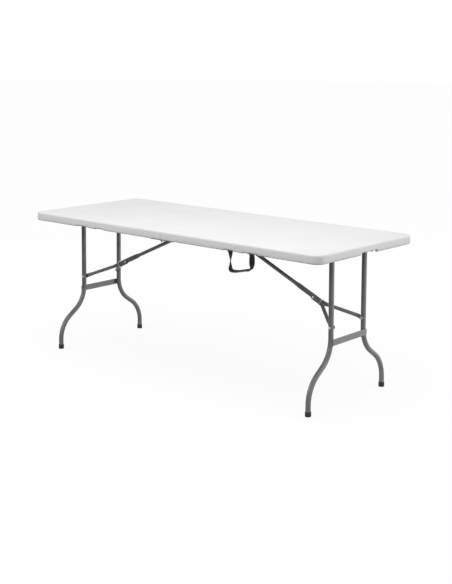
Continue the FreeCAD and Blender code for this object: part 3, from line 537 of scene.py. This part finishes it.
def dimple_field(border):
    """The slab's underside inside the border: dimpled cells and the flat round them."""
    x0, x1, y1 = CELL_FIELD
    half_x = (x1 - x0) / CELLS_X / 2
    half_y = y1 / CELLS_Y
    parts = []
    for i in range(CELLS_X):
        for j in range(CELLS_Y):
            parts.append(dimple_cell(x0 + half_x * (2 * i + 1), -y1 + half_y * (2 * j + 1),
                                     half_x, half_y))
    nx, ny = CELLS_X * CELL_SIDE, CELLS_Y * CELL_SIDE
    inner = [(x0 + (x1 - x0) * i / nx, -y1) for i in range(nx)]
    inner += [(x1, -y1 + 2 * y1 * i / ny) for i in range(ny)]
    inner += [(x1 - (x1 - x0) * i / nx, y1) for i in range(nx)]
    inner += [(x0, y1 - 2 * y1 * i / ny) for i in range(ny)]
    flat = [Vector(p) for p in border + inner]
    edges = [(i, (i + 1) % len(border)) for i in range(len(border))]
    edges += [(len(border) + i, len(border) + (i + 1) % len(inner)) for i in range(len(inner))]
    points, _, faces = delaunay_2d_cdt(flat, edges, [], 0, 1e-5)[:3]
    kept = []
    for face in faces:
        x = sum(points[i].x for i in face) / 3
        y = sum(points[i].y for i in face) / 3
        if not (x0 < x < x1 and abs(y) < y1):
            kept.append(tuple(face))
    parts.append(([Vector((p.x, p.y, SLAB_Z)) for p in points], kept))
    return parts


def top_half():
    stations = top_stations()
    rings = []
    for z, follows, outer, seam in top_levels():
        rings.append([Vector((*place(outer, seam), z + rise * follows))
                      for place, rise in stations])
    verts, faces = skin(rings, caps=False)
    faces.append(tuple(range(len(verts) - len(stations), len(verts))))
    border = [(p.x, p.y) for p in rings[0]]
    return [(verts, faces)] + dimple_field(border)


# --- Leg frames ------------------------------------------------------------------------
def splayed(parts):
    """From a leg frame's own place, pivot axis over x = 0, to the right end of the table."""
    lean = Matrix.Rotation(-SPLAY, 3, "Y")
    hub = Vector((0, 0, PIVOT.z))
    return [([PIVOT + lean @ (Vector(v) - hub) for v in verts], faces) for verts, faces in parts]


def leg_line():
    """Centre line of the front leg from the pivot down to the foot."""
    down, out = -Z_AXIS, -Y_AXIS
    slant = ((FOOT_Y - LEG_Y) - 2 * BEND_R * (1 - math.cos(BEND))) / math.sin(BEND)
    top = Vector((0, -LEG_Y, BEND_TOP_Z))
    points = [Vector((0, -LEG_Y, z)) for z in (PIVOT.z - 3, 690, 640, 560, 480, 400, 340)]
    upper = arc(top + out * BEND_R, BEND_R, -out, down, 0, BEND, 22)
    points += upper
    slope = out * math.sin(BEND) + down * math.cos(BEND)
    knee = upper[-1] + slope * slant
    points += [upper[-1] + slope * slant * t for t in (0.33, 0.67)]
    centre = Vector((0, -FOOT_Y + BEND_R, knee.z - BEND_R * math.sin(BEND)))
    points += arc(centre, BEND_R, out, -down, BEND, 0, 22)
    return points + [Vector((0, -FOOT_Y, z)) for z in (40, 20, 5)]


def leg_parts():
    """The bent tube, the weld round its top and the welds beside the crossbar."""
    parts = [tube(leg_line(), LEG_R, X_AXIS, sides=44)]
    saddle = []
    for i in range(88):
        a = math.tau * i / 88
        x = (LEG_R + WELD_GAP) * math.cos(a)
        y = -LEG_Y + (LEG_R + WELD_GAP) * math.sin(a)
        saddle.append(Vector((x, y, PIVOT.z - math.sqrt(max(PIVOT_R ** 2 - x * x, 0)) - 0.4)))
    parts.append(bead(saddle, Z_AXIS, loop=True))
    for y in (-LEG_Y + 5.4, -LEG_Y - 6.4):
        line = [Vector((CROSSBAR_X - 3.2, y, CROSSBAR_Z - CROSSBAR_WELD + i))
                for i in range(round(2 * CROSSBAR_WELD) + 1)]
        parts.append(bead(line, X_AXIS))
    return splayed(parts)


def crossbar_parts():
    height, thick = CROSSBAR_SIZE
    centre = Vector((CROSSBAR_X, 0, CROSSBAR_Z))
    ends = ((CROSSBAR_Y, 0.62), (CROSSBAR_Y - 0.5, 0.82), (CROSSBAR_Y - 1.6, 0.95),
            (CROSSBAR_Y - 3.5, 1.0), (CROSSBAR_Y / 2, 1.0))
    places = [(-y, k) for y, k in ends] + [(0, 1.0)] + list(ends[::-1])
    rings = [pressed_ring(centre + Y_AXIS * y, Y_AXIS, Z_AXIS, height * k,
                          thick * (0.5 + k / 2), DISH) for y, k in places]
    return splayed([skin(rings)])


def foot_cap_parts():
    """A moulded cap with three grip grooves, flat where it stands on the floor."""
    profile = [(0.0, 12.4), (0.35, 13.3), (1.2, 13.85), (2.4, 14.0), (8.0, 14.0)]
    for z in (9.0, 12.5, 16.0):
        profile += [(z, 14.0), (z + 0.35, 13.45), (z + 1.15, 13.45), (z + 1.5, 14.0)]
    profile += [(20.4, 14.0), (21.8, 13.75), (22.7, 13.2), (23.0, 12.6), (22.6, 12.1),
                (18.0, 12.05)]
    foot = Vector((0, -FOOT_Y, 0))
    verts, faces = splayed([turned(foot, Z_AXIS, profile, 44)])[0]
    floor = range(44)
    return [([Vector((v.x, v.y, 0)) if i in floor else v for i, v in enumerate(verts)], faces)]


def bolt_head_parts():
    """Domed head and its thin collar on the outer side of the front leg."""
    face = Vector((BOLT.x, -LEG_Y - LEG_R, BOLT.z))
    dome = [(-0.6, 6.2), (0.8, 6.2), (1.1, 5.9), (1.15, 5.4)]
    dome += [(1.15 + 2.8 * math.sin(a), 5.3 * math.cos(a)) for a in
             [math.radians(d) for d in (12, 26, 40, 54, 66, 76)]]
    dome += [(3.92, 1.0), (3.65, 0.8)]
    return [turned(face, -Y_AXIS, dome, 36)]


# --- Braces ----------------------------------------------------------------------------
def hexagon(across, limit):
    """Radius of a hexagon by angle, cut off at a limit where its corners are chamfered."""
    def radius(a):
        turn = (a + math.pi / 6) % (math.pi / 3) - math.pi / 6
        return min(across / 2 / math.cos(turn), limit)
    return radius


def nut_parts():
    """Washer, hexagon nut with its insert, and the end of the bolt, by the front arm."""
    face = Vector((BOLT.x, -ARM_END_Y[0], BOLT.z))
    rows = [(-1.0, 4.4), (-1.0, 7.5), (1.0, 7.5), (1.25, 7.3), (1.25, hexagon(12, 6.2)),
            (1.7, hexagon(12, 7.5)), (4.5, hexagon(12, 7.5)), (4.9, hexagon(12, 6.3)),
            (4.95, 5.2), (5.5, 4.9), (5.6, 4.3), (5.3, 3.9), (5.3, 3.6), (5.8, 3.5), (5.95, 3.0)]
    return [turned(face, Y_AXIS, rows, 48)]


def link_parts():
    """The upper link: a round tube pressed flat towards the knuckle, and its weld."""
    length = (KNUCKLE - ANCHOR).length
    along = (KNUCKLE + BRACE_UP * LINK_RISE - ANCHOR).normalized()
    up = along.cross(Y_AXIS)
    height, thick = TONGUE
    taper, end = length - TONGUE_LENGTH - TONGUE_TAPER, length + TAIL - TAIL_END
    places = [(6.0, 0.0, 1.0), (200.0, 0.0, 1.0), (taper - 4, 0.0, 1.0)]
    places += [(taper + TONGUE_TAPER * i / 14, i / 14, 1.0) for i in range(15)]
    places += [(length - 40, 1.0, 1.0), (length, 1.0, 1.0), (end, 1.0, 1.0)]
    places += [(end + TAIL_END * math.sin(a), 1.0, 0.36 + 0.64 * math.cos(a)) for a in
               [math.radians(d) for d in (20, 38, 55, 70, 82, 90)]]
    rings = []
    for distance, pressed, cut in places:
        k = smooth(pressed)
        h = (2 * LINK_R + (height - 2 * LINK_R) * k) * cut
        t = 2 * LINK_R + (thick - 2 * LINK_R) * k
        rings.append(pressed_ring(ANCHOR + along * distance, along, up, h, t, 0.45 * k))
    weld = []
    for i in range(72):
        a = math.tau * i / 72
        y, rise = (LINK_R + 0.4) * math.sin(a), (LINK_R + 0.4) * math.cos(a)
        reach = math.sqrt(SLEEVE_R ** 2 - min(rise * rise, 80.0)) + WELD_GAP
        weld.append(ANCHOR + along * reach + up * rise + Y_AXIS * y)
    return [skin(rings), bead(weld, along, loop=True)]


def arm_parts():
    """The front fork arm: plate with a round end, tube that spreads out, flattened eye."""
    reach = (BOLT - KNUCKLE).length
    mid = [-(a + b) / 2 for a, b in (PLATE_Y, ARM_END_Y)]
    plate, end = PLATE_Y[1] - PLATE_Y[0], ARM_END_Y[1] - ARM_END_Y[0]
    bend_in, bend_out = PLATE_LENGTH, reach - ARM_END_LENGTH

    def offset(d):
        def straight(at):
            share = min(max((at - bend_in) / (bend_out - bend_in), 0), 1)
            return mid[0] + (mid[1] - mid[0]) * share
        return sum(straight(d + s) for s in (-6, -4, -2, 0, 2, 4, 6)) / 7

    def size(d):
        first = smooth((d - bend_in) / ARM_TAPER)
        last = smooth((d - bend_out + ARM_TAPER) / ARM_TAPER)
        flat = (2 * (BOLT_EYE_R if last else PLATE_EYE_R), plate + (end - plate) * last)
        k = first * (1 - last)
        return (flat[0] + (2 * ARM_R - flat[0]) * k, flat[1] + (2 * ARM_R - flat[1]) * k)

    rounding = [math.sin(math.radians(a)) for a in (88, 80, 70, 58, 44, 30, 15)]
    places = [-PLATE_EYE_R * r for r in rounding] + [0, 20, 40]
    places += [bend_in - 6 + 2 * i for i in range(20)]
    places += [(bend_in + bend_out) / 2, bend_out - ARM_TAPER - 8]
    places += [bend_out - ARM_TAPER - 6 + 2 * i for i in range(20)]
    places += [reach] + [reach + BOLT_EYE_R * r for r in rounding[::-1]]
    line = [KNUCKLE + BRACE_DIR * d + Y_AXIS * offset(d) for d in places]
    rings = []
    for d, centre, along in zip(places, line, tangents(line)):
        height, thick = size(d)
        past = max(-d, d - reach, 0)
        if past:
            height = 2 * math.sqrt(max((height / 2) ** 2 - past ** 2, 0))
        dish = DISH if 8 < d < bend_in else 0.0
        rings.append(pressed_ring(centre, along, BRACE_UP, max(height, thick + 0.1), thick, dish))
    return [skin(rings)]


def rivet_parts():
    """Both domed heads of the knuckle rivet and the shank between them."""
    head = [(-0.2, 5.7), (0.25, 6.0), (0.8, 5.85), (1.5, 5.1), (2.05, 3.9), (2.45, 2.4), (2.6, 0.9)]
    parts = [turned(KNUCKLE - Y_AXIS * PLATE_Y[1], Y_AXIS, [(0, 3.0), (2 * PLATE_Y[1], 3.0)], 24)]
    for side in (1, -1):
        parts.append(turned(KNUCKLE + Y_AXIS * side * PLATE_Y[1], Y_AXIS * side, head, 32))
    return parts


def ring_parts():
    """The lock ring: bent wire with a gap below and rounded ends."""
    wire, corner, gap = RING_WIRE_R, RING_CORNER_R, RING_GAP
    half, top, low = RING_HALF + wire, RING_ABOVE + wire, -RING_BELOW - wire
    hub = KNUCKLE + BRACE_DIR * RING_AT

    def at(y, rise):
        return hub + Y_AXIS * y + BRACE_UP * rise

    line = [at(gap + t, low) for t in (0.0, 0.3, 0.8, 1.6)]
    turns = ((half, low, -90, 0), (half, top, 0, 90), (-half, top, 90, 180), (-half, low, 180, 270))
    for y, rise, a0, a1 in turns:
        centre = at(y - math.copysign(corner, y), rise - math.copysign(corner, rise))
        line += arc(centre, corner, Y_AXIS, BRACE_UP, math.radians(a0), math.radians(a1), 8)
    line += [at(-gap - t, low) for t in (1.6, 0.8, 0.3, 0.0)]
    radii = [0.65, 1.2, 1.5] + [wire] * (len(line) - 6) + [1.5, 1.2, 0.65]
    return [tube(line, radii, BRACE_DIR, sides=16)]


# --- Carry handle ----------------------------------------------------------------------
def run_frame(side, z):
    """Centre, width direction and front normal of a hanging run (side 0 left, 1 right)."""
    turn, twist = ((0, -90), (180, 90))[side]
    done = (RUN_TOP - z) / (RUN_TOP - GRIP_Z[side] - GRIP_BEND_R)
    a = math.radians(turn + twist * min(max(done, 0), 1))
    wide = Vector((math.cos(a), math.sin(a), 0))
    along = -Z_AXIS if side == 0 else Z_AXIS
    return Vector((STRAP_X[side], BAR_Y, z)), wide, along.cross(wide).normalized()


def layer_offset(z):
    """How far each layer lies from the middle of the doubled webbing."""
    spread = smooth((z - FLARE_Z) / (BAR_Z - FLARE_Z))
    return LOOP_R * spread + LAYER * (1 - spread) * smooth((z - SEWN_Z + 8) / 12)


def strap_stations():
    """(centre, width direction, thickness direction) from one sewn end to the other."""
    stations = []
    bar = [Vector((x, BAR_Y, BAR_Z)) for x in STRAP_X]
    tail_z = [SEWN_Z + 1.75 * i for i in range(28)]

    def layer(side, z, sign):
        centre, wide, normal = run_frame(side, z)
        reach = max(layer_offset(z), LAYER) if sign < 0 else layer_offset(z)
        return centre + normal * reach * sign, wide, normal * sign

    def run(side):
        start, end = BAR_Z - 0.3, GRIP_Z[side] + GRIP_BEND_R
        return [layer(side, start + (end - start) * i / 34, 1) for i in range(35)]

    def loop_over(side, first):
        for i in range(1, 14):
            a = math.pi * i / 14
            radial = Vector((0, math.cos(a) * first, math.sin(a)))
            stations.append((bar[side] + radial * LOOP_R, run_frame(side, BAR_Z)[1], radial))

    stations += [layer(0, z, -1) for z in tail_z]
    loop_over(0, 1)
    stations += run(0) + grip_stations() + run(1)[::-1]
    loop_over(1, -1)
    stations += [layer(1, z, -1) for z in tail_z[::-1]]
    return stations


def grip_stations():
    x0, x1 = STRAP_X[0] + GRIP_BEND_R, STRAP_X[1] - GRIP_BEND_R
    places = []
    for i in range(1, 11):
        s = math.radians(-90 + 9 * i)
        places.append((x0 + GRIP_BEND_R * math.sin(s),
                       GRIP_Z[0] + GRIP_BEND_R * (1 - math.cos(s)), s, i / 10))
    for i in range(1, 36):
        t = i / 36
        z = GRIP_Z[0] + (GRIP_Z[1] - GRIP_Z[0]) * smooth(t) - GRIP_SAG * math.sin(math.pi * t)
        places.append((x0 + (x1 - x0) * t, z, 0, 1))
    for i in range(10):
        s = math.radians(9 * i)
        places.append((x1 + GRIP_BEND_R * math.sin(s),
                       GRIP_Z[1] + GRIP_BEND_R * (1 - math.cos(s)), s, 1 - i / 10))
    stations = []
    for x, z, s, k in places:
        along = Vector((math.cos(s), 0, math.sin(s)))
        up = Vector((-math.sin(s), 0, math.cos(s)))
        wide = -Y_AXIS * math.cos(GRIP_TILT * k) - up * math.sin(GRIP_TILT * k)
        stations.append((Vector((x, BAR_Y, z)), wide, along.cross(wide).normalized()))
    return stations


def strap_parts():
    """The ribbed webbing, with its place in the weave for every vertex."""
    half, high = WEB_WIDTH / 2, WEB / 2
    section = [(-half, high - 0.5), (-half + 0.25, high - 0.18)]
    section += [(1 - half + i, high if i % 2 else high - 0.11) for i in range(24)]
    section += [(half - 0.25, high - 0.18), (half, high - 0.5)]
    rings, weave = [], []
    travelled, before = 0.0, None
    for centre, wide, thick in strap_stations():
        travelled += (centre - before).length if before else 0.0
        before = centre
        rings.append([centre + wide * u + thick * h for u, h in section]
                     + [centre + wide * u - thick * h for u, h in section[::-1]])
        weave += [(u, travelled, 0) for u, h in section + section[::-1]]
    return [skin(rings)], weave


def stitch(first, last):
    line = [first.lerp(last, t) for t in (0, 0.12, 0.3, 0.5, 0.7, 0.88, 1)]
    return tube(line, [0.1, 0.24, 0.3, 0.32, 0.3, 0.24, 0.1], Vector((0.31, 0.87, 0.38)), sides=6)


def stitch_parts():
    """A sewn box with a cross on both faces of each doubled end."""
    u1, z0, z1 = 9.0, 646.0, 664.0
    seams = [((-u1, z0), (u1, z0), 5), ((-u1, z1), (u1, z1), 5), ((-u1, z0), (-u1, z1), 5),
             ((u1, z0), (u1, z1), 5), ((-u1, z0), (u1, z1), 7), ((-u1, z1), (u1, z0), 7)]
    parts = []
    for side in (0, 1):
        for face in (1, -1):
            for a, b, count in seams:
                for i in range(count):
                    ends = []
                    for t in ((i + 0.14) / count, (i + 0.86) / count):
                        u, z = a[0] + (b[0] - a[0]) * t, a[1] + (b[1] - a[1]) * t
                        centre, wide, normal = run_frame(side, z)
                        off = layer_offset(z) + WEB / 2
                        ends.append(centre + wide * u + normal * off * face)
                    parts.append(stitch(*ends))
    return parts


# --- Build -----------------------------------------------------------------------------
SIDES = ((1, "right"), (-1, "left"))
ROWS = ((1, "front"), (-1, "rear"))


def build_tops():
    half = top_half()
    for sx, side in SIDES:
        piece("top_" + side, flipped(half, sx, 1), PLASTIC, side + "_half",
              ["tabletop_" + side], sharp=32, weld=0.002)


def build_legs():
    legs, caps, heads = leg_parts(), foot_cap_parts(), bolt_head_parts()
    for sx, side in SIDES:
        body = side + "_leg_frame"
        for sy, row in ROWS:
            name = row + "_" + side
            piece("tube_leg_" + name, flipped(legs, sx, sy), COAT, body,
                  ["leg_" + name])
            piece("cap_" + name, flipped(caps, sx, sy), RUBBER, body,
                  ["foot_cap_" + name])
        piece("flat_crossbar_" + side, flipped(crossbar_parts(), sx, 1), COAT, body,
              ["crossbar_" + side])
        piece("bolt_heads_" + side, flipped(heads, sx, 1) + flipped(heads, sx, -1), BRIGHT, body,
              ["leg_bolts_" + side])


def build_braces():
    for sx, side in SIDES:
        piece("link_" + side, flipped(link_parts(), sx, 1), COAT, side + "_brace",
              ["brace_link_" + side])
        fork = side + "_fork"
        for sy, row in ROWS:
            piece("arm_" + row + "_" + side, flipped(arm_parts(), sx, sy), COAT, fork,
                  ["fork_arm_" + row + "_" + side])
        piece("lock_nuts_" + side, flipped(nut_parts(), sx, 1) + flipped(nut_parts(), sx, -1),
              PLATED, fork, ["fork_nuts_" + side])
        piece("rivet_" + side, flipped(rivet_parts(), sx, 1), BRIGHT, fork,
              ["knuckle_rivet_" + side])
        piece("wire_ring_" + side, flipped(ring_parts(), sx, 1), BRIGHT, side + "_ring",
              ["lock_ring_" + side])


def build_handle():
    parts, weave = strap_parts()
    strap = piece("webbing_strap", parts, WEBBING, "handle", ["handle_strap"], sharp=70)
    places = strap.data.attributes.new("weave", "FLOAT_VECTOR", "POINT")
    places.data.foreach_set("vector", [c for place in weave for c in place])
    piece("strap_stitches", stitch_parts(), THREAD, "handle")


CAD_LOOKS = (("side_rail", COAT), ("leg_pivot_tube", COAT), ("brace_anchor_tube", COAT),
             ("brace_sleeve", COAT), ("hinge_leaf", PLATED), ("pivot_bracket", PLATED),
             ("latch_lever", BLACK))


def dress_cad_nodes():
    """Gives every CAD node that stays in sight its procedural material."""
    for name, obj in frame["nodes"].items():
        if obj.hide_render:
            continue
        look = next((m for prefix, m in CAD_LOOKS if name.startswith(prefix)), BRIGHT)
        obj.data.materials.clear()
        obj.data.materials.append(look)


# --- Stage, light and camera -----------------------------------------------------------
def glow_material(name, glow, albedo):
    """Pale matt surface that also glows a little, as an evenly lit studio floor looks."""
    material = bpy.data.materials.new(name)
    material.use_nodes = True
    shader = material.node_tree.nodes["Principled BSDF"]
    shader.inputs["Base Color"].default_value = (albedo, albedo, albedo, 1)
    shader.inputs["Roughness"].default_value = 1.0
    shader.inputs["Specular IOR Level"].default_value = 0.0
    shader.inputs["Emission Color"].default_value = (1, 1, 1, 1)
    shader.inputs["Emission Strength"].default_value = glow
    return material


def sheen_material():
    """A floor glow that grows towards the rear, for reflections only."""
    material = glow_material("floor_sheen", 0.0, 0.0)
    tree = material.node_tree
    where = node(tree, "ShaderNodeTexCoord").outputs["Object"]
    glow = ranged(tree, reach_along(tree, where, (0.35, 0.94, 0.0)), 0.10, 1.25, -1.6, 1.8)
    tree.links.new(glow, tree.nodes["Principled BSDF"].inputs["Emission Strength"])
    return material


def reach_along(tree, place, way):
    """How far a place or a direction reaches along a way."""
    return node(tree, "ShaderNodeVectorMath", {0: place, 1: way},
                operation="DOT_PRODUCT").outputs["Value"]


RAYS = ("camera", "diffuse", "glossy", "transmission", "volume_scatter", "shadow")
FLOOR_GLOW, FLOOR_ALBEDO, BOUNCE_ALBEDO = 0.88, 0.13, 0.18
FLOOR_REACH, WALL_HEIGHT, WALL_STEPS = 60.0, 50.0, 48
SOFTBOXES = (  # name, place, target, size, watts
    ("overhead_softbox", (0.40, -0.6, 2.0), (0.35, -0.35, 0.7), (1.6, 0.8), 6.5),
    ("rim_softbox", (4.1, 3.9, 1.2), (0.3, 0, 0.5), (2.4, 1.8), 50.0),
    ("front_softbox", (-2.0, -4.0, 2.7), (0.3, 0, 0.5), (2.4, 1.6), 46.0))


def stage_object(name, verts, faces, material, seen_by):
    """A stage piece that is there for some kinds of ray only."""
    mesh = bpy.data.meshes.new(name)
    mesh.from_pydata(verts, [], faces)
    mesh.materials.append(material)
    obj = bpy.data.objects.new(name, mesh)
    bpy.context.scene.collection.objects.link(obj)
    for kind in RAYS:
        setattr(obj, "visible_" + kind, kind in seen_by)


def make_stage():
    """One floor for the camera, one for soft light and one for reflections, and a wall."""
    def floor(name, z, material, seen_by):
        corners = [(x * FLOOR_REACH, y * FLOOR_REACH, z)
                   for x, y in ((-1, -1), (1, -1), (1, 1), (-1, 1))]
        stage_object(name, corners, [(0, 1, 2, 3)], material, seen_by)

    floor("floor_seen", 0.0, glow_material("pale_floor", FLOOR_GLOW, FLOOR_ALBEDO), ("camera",))
    floor("floor_bounce", -0.0005, glow_material("bounce", 0.0, BOUNCE_ALBEDO),
          ("diffuse", "shadow"))
    floor("floor_sheen", -0.001, sheen_material(), ("glossy",))
    steps, radius = WALL_STEPS, FLOOR_REACH - 1
    wall = []
    for z in (-0.01, WALL_HEIGHT):
        wall += [(radius * math.cos(math.tau * i / steps),
                  radius * math.sin(math.tau * i / steps), z) for i in range(steps)]
    faces = [(i, (i + 1) % steps, steps + (i + 1) % steps, steps + i) for i in range(steps)]
    faces.append(tuple(range(steps, 2 * steps)))
    stage_object("backdrop", wall, faces, glow_material("backdrop_white", 1.02, 0.0),
                 ("camera",))


def area_light(name, place, target, size, power):
    data = bpy.data.lights.new(name, "AREA")
    data.shape = "RECTANGLE"
    data.size, data.size_y = size
    data.energy = power
    light = bpy.data.objects.new(name, data)
    bpy.context.scene.collection.objects.link(light)
    light.location = place
    aim = (Vector(target) - Vector(place)).to_track_quat("-Z", "Y")
    light.rotation_mode = "QUATERNION"
    light.rotation_quaternion = aim


def make_light():
    world = bpy.data.worlds.new("studio")
    world.use_nodes = True
    tree = world.node_tree
    direction = node(tree, "ShaderNodeTexCoord").outputs["Generated"]
    strength = ranged(tree, reach_along(tree, direction, (0.7, 0.7, 0.0)), 0.58, 1.02, -1.0, 1.0)
    tree.links.new(strength, tree.nodes["Background"].inputs["Strength"])
    tree.nodes["Background"].inputs["Color"].default_value = (1, 1, 1, 1)
    bpy.context.scene.world = world
    for softbox in SOFTBOXES:
        area_light(*softbox)


def make_camera():
    place = Vector((3.4280, -3.8859, 1.5480))
    target = Vector((0.08755, 0.0, 0.39880))
    roll = math.radians(0.464)
    data = bpy.data.cameras.new("camera")
    data.lens = 65.56
    data.sensor_width = 36.0
    data.clip_end = 200.0
    camera = bpy.data.objects.new("camera", data)
    bpy.context.scene.collection.objects.link(camera)
    camera.location = place
    camera.rotation_mode = "QUATERNION"
    camera.rotation_quaternion = ((target - place).to_track_quat("-Z", "Y")
                                  @ Quaternion(Z_AXIS, roll))
    bpy.context.scene.camera = camera
    bpy.context.scene.view_settings.view_transform = "Standard"


build_tops()
build_legs()
build_braces()
build_handle()
dress_cad_nodes()
make_stage()
make_light()
make_camera()
